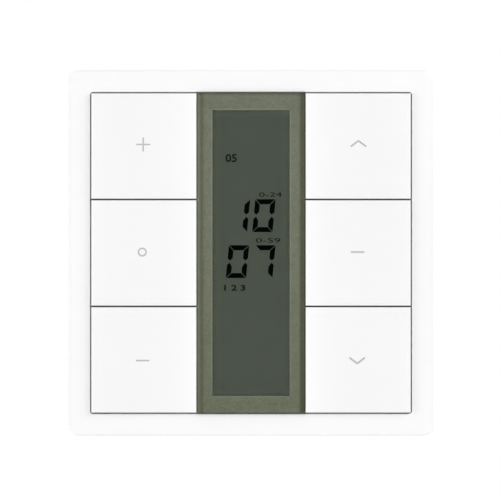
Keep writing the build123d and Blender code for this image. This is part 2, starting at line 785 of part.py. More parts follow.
# Cover frame, snapped over the chassis
with BuildPart() as cover_frame:
    with BuildSketch(Plane.XZ.offset(wall_gap)):
        RectangleRounded(frame_side, frame_side, frame_corner)
    extrude(amount=frame_front - wall_gap)
    fillet(cover_frame.faces().sort_by(Axis.Y)[0].edges(), radius=frame_edge)
    with BuildSketch(Plane.XZ.offset(wall_gap)):
        Rectangle(2 * frame_inside, 2 * frame_inside)
    extrude(amount=frame_front - frame_land - wall_gap, mode=Mode.SUBTRACT)
    with BuildSketch(Plane.XZ.offset(chassis_front)):
        Rectangle(field_side + 2 * frame_inner_wall, field_side + 2 * frame_inner_wall)
    extrude(amount=frame_front - frame_land - chassis_front)
    with BuildSketch(Plane.XZ.offset(chassis_front)):
        RectangleRounded(field_side, field_side, field_corner)
    extrude(amount=frame_front - chassis_front, mode=Mode.SUBTRACT)
    opening_rim = cover_frame.faces().sort_by(Axis.Y)[0].inner_wires()[0]
    chamfer(opening_rim.edges(), length=frame_opening_edge)
    for turn in range(0, 360, 90):
        add(frame_tabs.part.rotate(Axis.Y, turn))
    with BuildSketch(Plane.XZ.offset(wall_gap)):
        with Locations((0, -(frame_side - frame_wall) / 2)):
            Rectangle(pry_notch_width, frame_wall)
    extrude(amount=pry_notch_height, mode=Mode.SUBTRACT)
cover_frame.part.label = "cover_frame"
export_step(cover_frame.part, "parts/cover_frame.step")


# Four screws from the back through the shell and the board into the chassis
with BuildPart() as housing_screws:
    with BuildSketch(Plane.XZ.offset(screw_seat)):
        with GridLocations(screw_spacing, screw_spacing, 2, 2):
            Circle(screw_diameter / 2)
    extrude(amount=screw_length)
    with BuildSketch(Plane.XZ.offset(screw_seat)):
        with GridLocations(screw_spacing, screw_spacing, 2, 2):
            Circle(screw_head_diameter / 2)
    extrude(amount=-screw_head_height)
housing_screws.part.label = "housing_screws"
export_step(housing_screws.part, "parts/housing_screws.step")

print("frame side", frame_side, "depth", key_front)
print("hinge at x", hinge_x, "and height", hinge_height, "switch at", key_centre)
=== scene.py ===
import json
import math

import bpy
import numpy as np
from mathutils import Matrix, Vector


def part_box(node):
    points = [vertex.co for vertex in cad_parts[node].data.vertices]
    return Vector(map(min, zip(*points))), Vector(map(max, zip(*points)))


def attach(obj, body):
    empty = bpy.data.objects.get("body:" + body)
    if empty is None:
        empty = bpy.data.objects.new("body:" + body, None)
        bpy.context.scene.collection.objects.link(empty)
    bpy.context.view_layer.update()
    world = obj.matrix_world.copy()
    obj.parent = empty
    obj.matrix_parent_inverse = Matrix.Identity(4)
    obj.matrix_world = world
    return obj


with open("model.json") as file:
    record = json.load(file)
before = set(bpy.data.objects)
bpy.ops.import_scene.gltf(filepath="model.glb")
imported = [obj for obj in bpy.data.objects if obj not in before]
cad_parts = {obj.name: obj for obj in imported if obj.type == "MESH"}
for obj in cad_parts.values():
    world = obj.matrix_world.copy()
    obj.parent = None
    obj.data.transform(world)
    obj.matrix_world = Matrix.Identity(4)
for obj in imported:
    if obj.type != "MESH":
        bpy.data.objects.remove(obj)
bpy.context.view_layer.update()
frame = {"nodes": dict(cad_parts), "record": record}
mm = 0.001  # the frame is in metres, and sizes here are in millimetres
paneLap = 0.85  # how far the clear pane reaches past the display window, behind the bezel
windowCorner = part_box("window_pane")[1] - Vector((paneLap, 0, paneLap)) * mm  # the upper right one
print("stage: frame loaded,", len(frame["nodes"]), "nodes")


# Colours and nodes

# Turns an sRGB hex colour into linear RGBA.
def linearColour(hexText):
    channels = np.array([int(hexText[i:i + 2], 16) for i in (1, 3, 5)]) / 255
    low, high = channels / 12.92, ((channels + 0.055) / 1.055) ** 2.4
    return (*np.where(channels <= 0.04045, low, high).tolist(), 1.0)


# Adds a node, sets its properties and input values, and links its inputs.
def addNode(tree, kind, settings=None, links=None):
    node = tree.nodes.new(kind)
    for key, value in (settings or {}).items():
        if isinstance(key, int) or key in node.inputs:
            node.inputs[key].default_value = value
        else:
            setattr(node, key, value)
    for key, source in (links or {}).items():
        tree.links.new(source, node.inputs[key])
    return node


def newMaterial(name):
    material = bpy.data.materials.new(name)
    material.use_nodes = True
    material.node_tree.nodes.clear()
    return material, material.node_tree


# Noise on object coordinates whose lumps are about sizeMm across.
def noiseAt(tree, sizeMm, detail, stretch=(1, 1, 1)):
    place = addNode(tree, "ShaderNodeTexCoord").outputs["Object"]
    mapping = addNode(tree, "ShaderNodeMapping", {"Scale": stretch}, {"Vector": place})
    settings = {"Scale": 1 / (sizeMm * mm), "Detail": detail}
    return addNode(tree, "ShaderNodeTexNoise", settings, {"Vector": mapping.outputs["Vector"]})


mostNoise = {"From Min": 0.3, "From Max": 0.7}  # nearly all noise lies between these


# Goes from one colour to another with the noise. A colour mix has its share in socket 0 and its two
# colours in sockets 6 and 7.
def blendOver(tree, noise, first, second):
    share = addNode(tree, "ShaderNodeMapRange", mostNoise, {"Value": noise})
    colours = {"data_type": "RGBA", 6: linearColour(first), 7: linearColour(second)}
    return addNode(tree, "ShaderNodeMix", colours, {0: share.outputs["Result"]}).outputs[2]


# The finish's roughness, which strays to both sides with the noise.
def roughnessOver(tree, noise, look):
    middle, stray = look["roughness"], look["roughnessStray"]
    settings = {**mostNoise, "To Min": middle - stray, "To Max": middle + stray}
    return addNode(tree, "ShaderNodeMapRange", settings, {"Value": noise}).outputs["Result"]


# Multiplies a colour by a shade that follows straight lines between (place, level) stops, as place goes
# from 0 to 1. Levels above 1 lighten it. With blueLoss, a darker shade also turns olive.
def shadeBy(tree, colour, place, stops, blueLoss=0):
    ramp = addNode(tree, "ShaderNodeValToRGB", None, {"Fac": place})
    elements = ramp.color_ramp.elements
    while len(elements) < len(stops):
        elements.new(0.5)
    for element, (position, level) in zip(elements, stops):
        element.position = position
        element.color = (level, level, level * (1 - blueLoss * (1 - level)), 1)
    settings = {"data_type": "RGBA", "blend_type": "MULTIPLY", 0: 1.0}
    return addNode(tree, "ShaderNodeMix", settings, {6: colour, 7: ramp.outputs["Color"]}).outputs[2]


# Goes from 0 to 1 between two places on an axis. Mirrored, it counts from the middle to both sides.
def placeAlong(tree, axis, start, end, mirrored=False):
    coordinates = addNode(tree, "ShaderNodeTexCoord").outputs["Object"]
    place = addNode(tree, "ShaderNodeSeparateXYZ", None, {0: coordinates}).outputs[axis]
    if mirrored:
        place = addNode(tree, "ShaderNodeMath", {"operation": "ABSOLUTE"}, {0: place}).outputs[0]
    settings = {"From Min": start, "From Max": end}
    return addNode(tree, "ShaderNodeMapRange", settings, {"Value": place}).outputs["Result"]


# 1 inside a rectangle seen from the front, given by two corners in X and Z, and 0 past its soft edge.
# It is the product of four such ways, one across each side.
def insideBox(tree, low, high, soft):
    sides = [
        placeAlong(tree, axis, outer, inner)
        for axis, start, end in (("X", low[0], high[0]), ("Z", low[1], high[1]))
        for outer, inner in ((start - soft, start), (end + soft, end))
    ]
    inside = sides[0]
    for side in sides[1:]:
        inside = addNode(tree, "ShaderNodeMath", {"operation": "MULTIPLY"}, {0: inside, 1: side}).outputs[0]
    return inside


# Finishes of the moulded parts

# A plastic from a spark-eroded mould: even colour, a fine grain and a satin gloss that drifts a little.
def mouldedPlastic(name, look):
    material, tree = newMaterial(name)
    grain = noiseAt(tree, look["grainMm"], detail=3)
    drift = noiseAt(tree, look["driftMm"], detail=1)
    colour = blendOver(tree, drift.outputs["Fac"], look["colour"], look["driftColour"])
    if "paintedSideEdgeShade" in look:  # painted shade along the frame's outer edges, and painted light along the lower one
        low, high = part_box("cover_frame")
        colour = shadeBy(tree, colour, placeAlong(tree, "X", 0, high.x, mirrored=True), look["paintedSideEdgeShade"])
        colour = shadeBy(tree, colour, placeAlong(tree, "Z", low.z, high.z), look["paintedEndEdgeShadeAndLight"])
    if "paintedDishShade" in look:  # painted shade: the keys are drawn a little darker in the middle than at their sides
        low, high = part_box("key_right_top")
        colour = shadeBy(tree, colour, placeAlong(tree, "X", low.x, high.x, mirrored=True), look["paintedDishShade"])
    relief = {"Strength": look["grainStrength"], "Distance": look["grainDepthMm"] * mm}
    bump = addNode(tree, "ShaderNodeBump", relief, {"Height": grain.outputs["Fac"]})
    links = {
        "Base Color": colour, "Roughness": roughnessOver(tree, drift.outputs["Fac"], look),
        "Normal": bump.outputs["Normal"],
    }
    shader = addNode(tree, "ShaderNodeBsdfPrincipled", {"IOR": look["ior"]}, links)
    addNode(tree, "ShaderNodeOutputMaterial", None, {"Surface": shader.outputs[0]})
    return material


# ABS, injection moulded: opaque, even white with a fine satin grain, drawn a little coarser than it is
mouldedLook = {
    "colour": "#F8F8F8", "driftColour": "#F6F6F6", "driftMm": 30, "roughness": 0.5, "roughnessStray": 0.03,
    "ior": 1.53, "grainMm": 0.35, "grainStrength": 0.12, "grainDepthMm": 0.012,
}
frameLook = {
    **mouldedLook, "colour": "#F7F7F7", "driftColour": "#F5F5F5",
    # Painted shade along the outer edges, and painted light along the lower edge
    "paintedSideEdgeShade": ((0.983, 1.0), (0.992, 0.93), (1.0, 0.93)),
    "paintedEndEdgeShadeAndLight": ((0.0, 1.04), (0.006, 1.0), (0.994, 1.0), (1.0, 0.93)),
}
keyLook = {
    **mouldedLook, "colour": "#FBFBFB", "driftColour": "#F9F9F9", "roughness": 0.36,
    # Painted shade, darkest in the middle of each key
    "paintedDishShade": (
        (0.0, 1.0), (0.08, 0.98), (0.16, 0.963), (0.3, 0.947), (0.6, 0.94), (0.85, 0.945), (1.0, 0.96),
    ),
}
chassisLook = {**mouldedLook, "colour": "#E9E9E6", "driftColour": "#E5E5E2", "grainMm": 0.5}
shellLook = {**chassisLook, "colour": "#E6E6E3", "driftColour": "#E2E2DF"}
plateLook = {**chassisLook, "colour": "#E3E3E0", "driftColour": "#DFDFDC", "grainMm": 0.6}
# Glass-filled nylon, moulded: black and slightly grainy
holderLook = {**chassisLook, "colour": "#1B1B1C", "driftColour": "#202021", "roughness": 0.55}
# Liquid crystal polymer, moulded: dark grey, dull
switchLook = {**holderLook, "colour": "#242425", "driftColour": "#29292A"}
# Epoxy resin, moulded round the chip: near black with a dull gloss
chipLook = {**holderLook, "colour": "#161718", "driftColour": "#1B1C1D", "roughness": 0.42}
# Barium titanate ceramic, fired: warm brown
ceramicLook = {**holderLook, "colour": "#8A7458", "driftColour": "#806B50", "roughness": 0.45}


# Finishes of the display

bezelLook = {
    "dark": "#5E6352", "light": "#7F8472", "grainMm": 0.24, "patchDark": "#656A59", "patchLight": "#797E6A",
    "patchMm": 1.8, "metallic": 0.25, "roughness": 0.5, "roughnessStray": 0.06, "ior": 1.5,
    "grainStrength": 0.25, "grainDepthMm": 0.02, "patchShare": 0.3, "blueLoss": 0.45, "bandMm": 2.0,
    # Painted shade in bands along the long sides
    "paintedLeftBevelShade": (
        (0.0, 1.0), (0.18, 0.95), (0.29, 0.84), (0.4, 0.58), (0.51, 0.3), (0.62, 0.46), (0.73, 0.58),
        (0.84, 0.92), (0.9, 1.0),
    ),
    "paintedRightBevelShade": (
        (0.0, 1.0), (0.2, 1.0), (0.3, 0.94), (0.4, 0.69), (0.51, 0.43), (0.63, 0.27), (0.73, 0.33),
        (0.85, 0.46), (1.0, 0.52),
    ),
    # Painted shade, darker towards the ends
    "height": (
        (0.0, 0.9), (0.006, 0.83), (0.03, 0.83), (0.045, 0.87), (0.1, 0.87), (0.5, 0.96), (0.75, 1.0),
        (0.93, 1.0), (0.96, 0.955), (0.98, 0.955), (0.988, 1.0), (0.9916, 0.98), (0.9947, 0.82),
        (0.998, 0.6),
    ),
    # Painted highlight and shade on the rim round the window
    "rimMm": 0.27, "softMm": 0.05, "rims": {"top": 1.42, "bottom": 1.12, "left": 1.03, "right": 0.83},
}


# Grey-green metallic paint, sprayed: flakes, drawn coarser than they are, show as light and dark specks
# under a satin binder.
def metallicPaint(name, look):
    material, tree = newMaterial(name)
    flakes = noiseAt(tree, look["grainMm"], detail=4)
    patches = noiseAt(tree, look["patchMm"], detail=1)
    speck = blendOver(tree, flakes.outputs["Fac"], look["dark"], look["light"])
    patch = blendOver(tree, patches.outputs["Fac"], look["patchDark"], look["patchLight"])
    settings = {"data_type": "RGBA", 0: look["patchShare"]}
    colour = addNode(tree, "ShaderNodeMix", settings, {6: speck, 7: patch}).outputs[2]
    # Painted shade: the coat is drawn darker in bands along the bevelled long sides and at the ends
    low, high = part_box("display_bezel")
    width = look["bandMm"] * mm
    places = {
        "paintedLeftBevelShade": placeAlong(tree, "X", low.x + width, low.x),
        "paintedRightBevelShade": placeAlong(tree, "X", high.x - width, high.x),
        "height": placeAlong(tree, "Z", low.z, high.z),
    }
    for shade, place in places.items():
        colour = shadeBy(tree, colour, place, look[shade], look["blueLoss"])
    # Painted highlight on the rim round the window, stronger above and below it than at its sides, and
    # painted shade on its right side
    x, z, rim = windowCorner.x, windowCorner.z, look["rimMm"] * mm
    rims = {
        "top": ((-x, z), (x, z + rim)), "bottom": ((-x, -z - rim), (x, -z)),
        "left": ((-x - rim, -z - rim), (-x, z + rim)), "right": ((x, -z - rim), (x + rim, z + rim)),
    }
    for side, (corner, opposite) in rims.items():
        onRim = insideBox(tree, corner, opposite, look["softMm"] * mm)
        colour = shadeBy(tree, colour, onRim, ((0.0, 1.0), (1.0, look["rims"][side])))
    relief = {"Strength": look["grainStrength"], "Distance": look["grainDepthMm"] * mm}
    bump = addNode(tree, "ShaderNodeBump", relief, {"Height": flakes.outputs["Fac"]})
    links = {
        "Base Color": colour, "Roughness": roughnessOver(tree, flakes.outputs["Fac"], look),
        "Normal": bump.outputs["Normal"],
    }
    settings = {"Metallic": look["metallic"], "IOR": look["ior"]}
    shader = addNode(tree, "ShaderNodeBsdfPrincipled", settings, links)
    addNode(tree, "ShaderNodeOutputMaterial", None, {"Surface": shader.outputs[0]})
    return material


filmLook = {
    "colour": "#4E524B", "shade": "#4C5049", "driftMm": 14, "ior": 1.49,
    "roughness": 0.42, "roughnessStray": 0.02,
    # Painted light towards the window's sides
    "across": ((0.0, 1.0), (0.45, 1.0), (0.6, 1.04), (0.74, 1.09), (0.8, 1.22), (0.9, 1.44), (1.0, 1.67)),
    # Painted light towards the window's top and bottom
    "height": (
        (0.0, 1.5), (0.01, 1.27), (0.02, 1.08), (0.04, 1.01), (0.56, 0.98), (0.95, 1.03), (0.97, 1.1),
        (0.982, 1.26), (1.0, 1.85),
    ),
}


# Polariser film on the display, cast: one even satin grey-green that drifts very slightly.
def displayFilm(name, look):
    material, tree = newMaterial(name)
    drift = noiseAt(tree, look["driftMm"], detail=1)
    colour = blendOver(tree, drift.outputs["Fac"], look["colour"], look["shade"])
    # Painted light: the film is drawn lighter towards the window's edges, to cancel the shadow that the
    # bezel's edge casts on it
    colour = shadeBy(tree, colour, placeAlong(tree, "X", 0, windowCorner.x, mirrored=True), look["across"])
    colour = shadeBy(tree, colour, placeAlong(tree, "Z", -windowCorner.z, windowCorner.z), look["height"])
    links = {"Base Color": colour, "Roughness": roughnessOver(tree, drift.outputs["Fac"], look)}
    shader = addNode(tree, "ShaderNodeBsdfPrincipled", {"IOR": look["ior"]}, links)
    addNode(tree, "ShaderNodeOutputMaterial", None, {"Surface": shader.outputs[0]})
    return material


# Acrylic, cast: all but colourless; float glass: a little green
paneLook = {"tint": "#FBFDFA", "roughness": 0.03, "ior": 1.49}
glassLook = {"tint": "#DDE4DA", "roughness": 0.02, "ior": 1.52}


# A clear flat sheet, polished: what lies behind shows through, and the room mirrors in it by Fresnel
# where a ray goes in. A ray that leaves it meets no mirror, because it goes straight through unbent.
def clearSheet(name, look):
    material, tree = newMaterial(name)
    fresnel = addNode(tree, "ShaderNodeFresnel", {"IOR": look["ior"]})
    geometry = addNode(tree, "ShaderNodeNewGeometry")
    subtract, multiply = {"operation": "SUBTRACT", 0: 1.0}, {"operation": "MULTIPLY"}
    entering = addNode(tree, "ShaderNodeMath", subtract, {1: geometry.outputs["Backfacing"]})
    share = addNode(tree, "ShaderNodeMath", multiply, {0: fresnel.outputs["Fac"], 1: entering.outputs[0]})
    through = addNode(tree, "ShaderNodeBsdfTransparent", {"Color": linearColour(look["tint"])})
    mirror = addNode(tree, "ShaderNodeBsdfGlossy", {"Roughness": look["roughness"]})
    links = {0: share.outputs[0], 1: through.outputs[0], 2: mirror.outputs[0]}
    mix = addNode(tree, "ShaderNodeMixShader", None, links)
    addNode(tree, "ShaderNodeOutputMaterial", None, {"Surface": mix.outputs[0]})
    return material


# Finishes of the metal and of the boards

# Sheet metal, rolled and plated: a soft gloss with streaks along the rolling direction, which are drawn
# coarser than they are.
def rolledMetal(name, look):
    material, tree = newMaterial(name)
    streaks = noiseAt(tree, look["streakMm"], detail=4, stretch=look["stretch"])
    colour = blendOver(tree, streaks.outputs["Fac"], look["colour"], look["shade"])
    relief = {"Strength": look["streakStrength"], "Distance": look["streakDepthMm"] * mm}
    bump = addNode(tree, "ShaderNodeBump", relief, {"Height": streaks.outputs["Fac"]})
    links = {
        "Base Color": colour, "Roughness": roughnessOver(tree, streaks.outputs["Fac"], look),
        "Normal": bump.outputs["Normal"],
    }
    shader = addNode(tree, "ShaderNodeBsdfPrincipled", {"Metallic": 1.0}, links)
    addNode(tree, "ShaderNodeOutputMaterial", None, {"Surface": shader.outputs[0]})
    return material


# Tinned steel: pale grey; nickel plate: warmer; zinc plate: bluish grey; cell case: bright steel
tinLook = {
    "colour": "#C9C9C6", "shade": "#B4B4B1", "roughness": 0.32, "roughnessStray": 0.08,
    "streakMm": 0.5, "stretch": (1, 1, 0.1), "streakStrength": 0.15, "streakDepthMm": 0.01,
}
nickelLook = {**tinLook, "colour": "#CDC8BC", "shade": "#BDB8AB", "roughness": 0.28}
cellLook = {**tinLook, "colour": "#D2D2D0", "shade": "#BFBFBD", "roughness": 0.3, "stretch": (0.08, 1, 1)}
zincLook = {**tinLook, "colour": "#B9BEC2", "shade": "#A4A9AD", "roughness": 0.36}

boardLook = {
    "mask": "#1E5B33", "trace": "#2E7646", "pitchMm": 1.27, "traceMm": 0.35, "lengthInPitches": 6,
    "roughness": 0.33, "ior": 1.5, "traceStrength": 0.4, "traceDepthMm": 0.03,
}


# Circuit board under green solder mask: parallel copper tracks show as lighter lines.
def solderMask(name, look):
    material, tree = newMaterial(name)
    place = addNode(tree, "ShaderNodeTexCoord").outputs["Object"]
    turn = addNode(tree, "ShaderNodeMapping", {"Rotation": (math.pi / 2, 0, 0)}, {"Vector": place})
    mask, trace = linearColour(look["mask"]), linearColour(look["trace"])
    bricks = {
        "Scale": 1 / mm, "Mortar Size": look["traceMm"] / 2, "Row Height": look["pitchMm"],
        "Brick Width": look["lengthInPitches"] * look["pitchMm"],
        "Color1": mask, "Color2": mask, "Mortar": trace,
    }
    tracks = addNode(tree, "ShaderNodeTexBrick", bricks, {"Vector": turn.outputs["Vector"]})
    relief = {"Strength": look["traceStrength"], "Distance": look["traceDepthMm"] * mm}
    bump = addNode(tree, "ShaderNodeBump", relief, {"Height": tracks.outputs["Fac"]})
    settings = {"Roughness": look["roughness"], "IOR": look["ior"]}
    links = {"Base Color": tracks.outputs["Color"], "Normal": bump.outputs["Normal"]}
    shader = addNode(tree, "ShaderNodeBsdfPrincipled", settings, links)
    addNode(tree, "ShaderNodeOutputMaterial", None, {"Surface": shader.outputs[0]})
    return material


stripLook = {"dark": "#2B2B2B", "pale": "#C9C8C4", "pitchMm": 0.4, "roughness": 0.7}


# Silicone rubber, sliced from a layered block: along X, pale layers alternate with dark conducting ones,
# drawn coarser than they are.
def layeredRubber(name, look):
    material, tree = newMaterial(name)
    place = addNode(tree, "ShaderNodeTexCoord").outputs["Object"]
    scale = math.pi / 10 / (look["pitchMm"] * mm)  # at a scale of 1 the bands lie pi / 10 apart
    settings = {"bands_direction": "X", "Scale": scale}
    bands = addNode(tree, "ShaderNodeTexWave", settings, {"Vector": place})
    colour = blendOver(tree, bands.outputs["Fac"], look["dark"], look["pale"])
    settings = {"Roughness": look["roughness"]}
    shader = addNode(tree, "ShaderNodeBsdfPrincipled", settings, {"Base Color": colour})
    addNode(tree, "ShaderNodeOutputMaterial", None, {"Surface": shader.outputs[0]})
    return material


inkLook = {"colour": "#BBBBBB", "shade": "#B6B6B6", "roughness": 0.5, "gloss": 0.2, "grainMm": 0.4}
segmentLook = {"colour": "#020303", "shade": "#040505", "roughness": 0.6, "gloss": 0.0, "grainMm": 2.0}
legendLook = {**segmentLook, "colour": "#121512", "shade": "#161917"}


# Ink or dark crystal in a layer too thin to have gloss of its own, a little uneven.
def thinPrint(name, look):
    material, tree = newMaterial(name)
    uneven = noiseAt(tree, look["grainMm"], detail=2)
    colour = blendOver(tree, uneven.outputs["Fac"], look["colour"], look["shade"])
    settings = {"Roughness": look["roughness"], "Specular IOR Level": look["gloss"]}
    shader = addNode(tree, "ShaderNodeBsdfPrincipled", settings, {"Base Color": colour})
    addNode(tree, "ShaderNodeOutputMaterial", None, {"Surface": shader.outputs[0]})
    return material


finishes = {
    "frame_plastic": mouldedPlastic("mouldedAbsFrame", frameLook),
    "key_plastic": mouldedPlastic("mouldedAbsKey", keyLook),
    "chassis_plastic": mouldedPlastic("mouldedAbsChassis", chassisLook),
    "shell_plastic": mouldedPlastic("mouldedAbsShell", shellLook),
    "plate_plastic": mouldedPlastic("mouldedAbsPlate", plateLook),
    "holder_plastic": mouldedPlastic("mouldedNylon", holderLook),
    "switch_plastic": mouldedPlastic("mouldedPolymer", switchLook),
    "chip_resin": mouldedPlastic("mouldedEpoxy", chipLook),
    "capacitor_ceramic": mouldedPlastic("firedCeramic", ceramicLook),
    "bezel_paint": metallicPaint("sprayedMetallicPaint", bezelLook),
    "window_clear": clearSheet("polishedAcrylic", paneLook),
    "display_glass": clearSheet("floatGlass", glassLook),
    "display_film": displayFilm("castPolariserFilm", filmLook),
    "board_laminate": solderMask("solderMaskOverCopper", boardLook),
    "can_metal": rolledMetal("rolledTinnedSteel", tinLook),
    "contact_metal": rolledMetal("rolledNickelPlate", nickelLook),
    "cell_steel": rolledMetal("drawnSteelCase", cellLook),
    "screw_steel": rolledMetal("zincPlatedSteel", zincLook),
    "strip_rubber": layeredRubber("slicedSiliconeRubber", stripLook),
}
for part in frame["record"]["subparts"]:
    for holder in frame["nodes"][part["node"]].material_slots:
        holder.material = finishes[part["material_slot"]]
print("stage: finishes on the packed parts")


# Meshes for printed marks and display segments

# An object at the origin whose mesh has these points, in metres, and these faces.
def meshObject(name, points, faces):
    mesh = bpy.data.meshes.new(name)
    mesh.from_pydata(np.asarray(points).tolist(), [], faces)
    mesh.validate()
    made = bpy.data.objects.new(name, mesh)
    bpy.context.scene.collection.objects.link(made)
    return made


# A closed outline in X and Z, carried straight from one height above the wall to another.
def thinPlate(name, outline, back, front):
    outline = np.asarray(outline, float)
    after = np.roll(outline, -1, axis=0)
    area = np.sum(outline[:, 0] * after[:, 1] - after[:, 0] * outline[:, 1]) / 2
    if area < 0:
        outline = outline[::-1]
    count = len(outline)
    rings = np.empty((2, count, 3))
    rings[:, :, 0] = outline[:, 0]
    rings[:, :, 2] = outline[:, 1]
    rings[0, :, 1] = -back
    rings[1, :, 1] = -front
    index = np.arange(count)
    nextIndex = (index + 1) % count
    walls = np.stack([index, nextIndex, nextIndex + count, index + count], axis=1)
    faces = walls.tolist() + [index[::-1].tolist(), (index + count).tolist()]
    return meshObject(name, rings.reshape(-1, 3) * mm, faces)


# A line of one width along an open path, mitred at its corners and round at both ends.
def strokeOutline(path, width, capPoints=7):
    path = np.asarray(path, float)
    step = np.diff(path, axis=0)
    step /= np.linalg.norm(step, axis=1)[:, None]
    normal = np.stack([-step[:, 1], step[:, 0]], axis=1)
    before, after = np.vstack([normal[:1], normal]), np.vstack([normal, normal[-1:]])
    mitre = before + after
    mitre *= (width / np.sum(mitre * after, axis=1))[:, None] / 2
    angle = np.linspace(0, math.pi, capPoints)[1:-1]
    caps = []
    for tip, along, across in ((path[-1], step[-1], normal[-1]), (path[0], -step[0], -normal[0])):
        arc = np.cos(angle)[:, None] * across + np.sin(angle)[:, None] * along
        caps.append(tip + width / 2 * arc)
    return np.vstack([path + mitre, caps[0], (path - mitre)[::-1], caps[1]])


# One arm with a round end, turned by a quarter four times.
def plusOutline(centre, size, width, capPoints=7):
    angle = np.linspace(-math.pi / 2, math.pi / 2, capPoints)
    tip = np.stack([size / 2 - width / 2 + width / 2 * np.cos(angle), width / 2 * np.sin(angle)], axis=1)
    arm = np.vstack([[[width / 2, -width / 2]], tip])
    turns = [np.array([[math.cos(a), math.sin(a)], [-math.sin(a), math.cos(a)]])
             for a in np.arange(4) * math.pi / 2]
    return np.asarray(centre) + np.vstack([arm @ turn for turn in turns])


# A ring of square section: the angle runs round it and four corners run round the section.
def flatRing(name, centre, outer, width, back, front, steps=48):
    angle = np.linspace(0, 2 * math.pi, steps, endpoint=False)
    radius = np.array([outer - width, outer, outer, outer - width])
    height = np.array([back, back, front, front])
    points = np.empty((steps, 4, 3))
    points[:, :, 0] = centre[0] + np.cos(angle)[:, None] * radius
    points[:, :, 1] = -height
    points[:, :, 2] = centre[1] + np.sin(angle)[:, None] * radius
    index = np.arange(steps * 4).reshape(steps, 4)
    ahead, beside = np.roll(index, -1, axis=0), np.roll(index, -1, axis=1)
    corner = np.roll(ahead, -1, axis=1)
    faces = np.stack([index, beside, corner, ahead], axis=2).reshape(-1, 4)
    return meshObject(name, points.reshape(-1, 3) * mm, faces.tolist())


# Marks on the keys

keyMarks = {
    "thickness": 0.015, "sink": 0.005, "apexFlat": 0.2,
    "plus": {"centre": (-23.87, 24.03), "size": 3.15, "stroke": 0.31},
    "ring": {"centre": (-24.08, 0.2), "outer": 1.0, "stroke": 0.33},
    "leftDash": {"centre": (-24.0, -23.82), "length": 3.0, "stroke": 0.34},
    "up": {"centre": (23.8, 24.22), "width": 3.55, "rise": 1.1, "stroke": 0.395},
    "rightDash": {"centre": (23.6, 0.21), "length": 3.1, "stroke": 0.37},
    "down": {"centre": (23.52, -23.83), "width": 3.55, "rise": -1.15, "stroke": 0.415},
}


# From end to end along X, less half a stroke at each end for the round caps.
def dashPath(spec):
    half = spec["length"] / 2 - spec["stroke"] / 2
    x, z = spec["centre"]
    return [(x - half, z), (x + half, z)]


# Up to a short flat tip and down again, or the other way round where the rise is negative.
def arrowPath(spec):
    half = spec["width"] / 2 - spec["stroke"] / 2
    flat = keyMarks["apexFlat"] / 2
    x, z = spec["centre"]
    tip, foot = z + spec["rise"] / 2, z - spec["rise"] / 2
    return [(x - half, foot), (x - flat, tip), (x + flat, tip), (x + half, foot)]


def printKeys():
    ink = thinPrint("padPrintedInk", inkLook)
    plus, ring = keyMarks["plus"], keyMarks["ring"]
    lines = {
        "left_bottom": (dashPath, "leftDash"), "right_top": (arrowPath, "up"),
        "right_middle": (dashPath, "rightDash"), "right_bottom": (arrowPath, "down"),
    }
    outlines = {"left_top": plusOutline(plus["centre"], plus["size"], plus["stroke"])}
    for key, (makePath, mark) in lines.items():
        outlines[key] = strokeOutline(makePath(keyMarks[mark]), keyMarks[mark]["stroke"])
    face = -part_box("key_left_top")[0].y / mm
    back, front = face - keyMarks["sink"], face + keyMarks["thickness"] - keyMarks["sink"]
    made = {key: thinPlate("mark_" + key, line, back, front) for key, line in outlines.items()}
    centre, outer, stroke = ring["centre"], ring["outer"], ring["stroke"]
    made["left_middle"] = flatRing("mark_left_middle", centre, outer, stroke, back, front)
    for key, mark in made.items():
        mark.data.materials.append(ink)
        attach(mark, "key_" + key)


printKeys()
print("stage: key marks")


# Figures of the display

digits = {
    "height": 7.27, "width": 4.5, "thick": 1.1, "slant": 0.098, "mitreGap": 0.105, "middleGap": 0.46,
    "outerShoulder": 0.45, "shoulders": (0.5, 0.85), "layer": 0.02, "sink": 0.005, "shown": {
        "hourTens": (-5.39, 4.65, "bc"), "hourOnes": (0.25, 4.65, "abcdef"),
        "minuteTens": (-5.6, -5.55, "abcdef"), "minuteOnes": (0.25, -5.55, "abc"),
    },
}


# The six outer bars of a figure as upright outlines: mitred where they meet, pointed at half height.
def segmentOutline(letter):
    h, w, t = digits["height"], digits["width"], digits["thick"]
    g, middle, outer = digits["mitreGap"], digits["middleGap"] / 2, digits["outerShoulder"]
    top = np.array([(g, h), (w - g, h), (w - t - g, h - t), (t + g, h - t)])
    upper, lower = [np.array([
        (w, h - g), (w, h / 2 + middle + outer * t), (w - t / 2, h / 2 + middle),
        (w - t, h / 2 + middle + shoulder * t), (w - t, h - t - g),
    ]) for shoulder in digits["shoulders"]]
    flipX, flipZ = np.array([-1, 1]), np.array([1, -1])
    shapes = {
        "a": top, "d": top * flipZ + (0, h), "b": upper, "c": lower * flipZ + (0, h),
        "f": upper * flipX + (w, 0), "e": lower * flipX * flipZ + (w, h),
    }
    return shapes[letter]


def showFigures():
    crystal = thinPrint("darkLiquidCrystal", segmentLook)
    film = -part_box("lcd_polariser")[0].y / mm
    back, front = film - digits["sink"], film + digits["layer"]
    for figure, (x, z, letters) in digits["shown"].items():
        for letter in letters:
            outline = segmentOutline(letter)
            outline[:, 0] += digits["slant"] * outline[:, 1] + x
            outline[:, 1] += z
            bar = thinPlate(f"segment_{figure}_{letter}", outline, back, front)
            bar.data.materials.append(crystal)
            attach(bar, "root")


showFigures()
print("stage: display figures")


# Small generic numerals round the figures

legends = {
    "layer": 0.02, "sink": 0.003, "curveSteps": 4, "shown": {
        "hours": {"text": "0-24", "centre": (4.3, 12.95), "height": 1.0, "width": 5.0},
        "minutes": {"text": "0-59", "centre": (3.8, 2.8), "height": 1.0, "width": 5.4},
        "program": {"text": "1 2 3", "centre": (-3.6, -7.72), "height": 1.3, "width": 4.7, "weight": 0.03},
        "day": {"text": "05", "centre": (-4.4, 21.05), "height": 1.8, "width": 2.5, "weight": 0.02},
    },
}


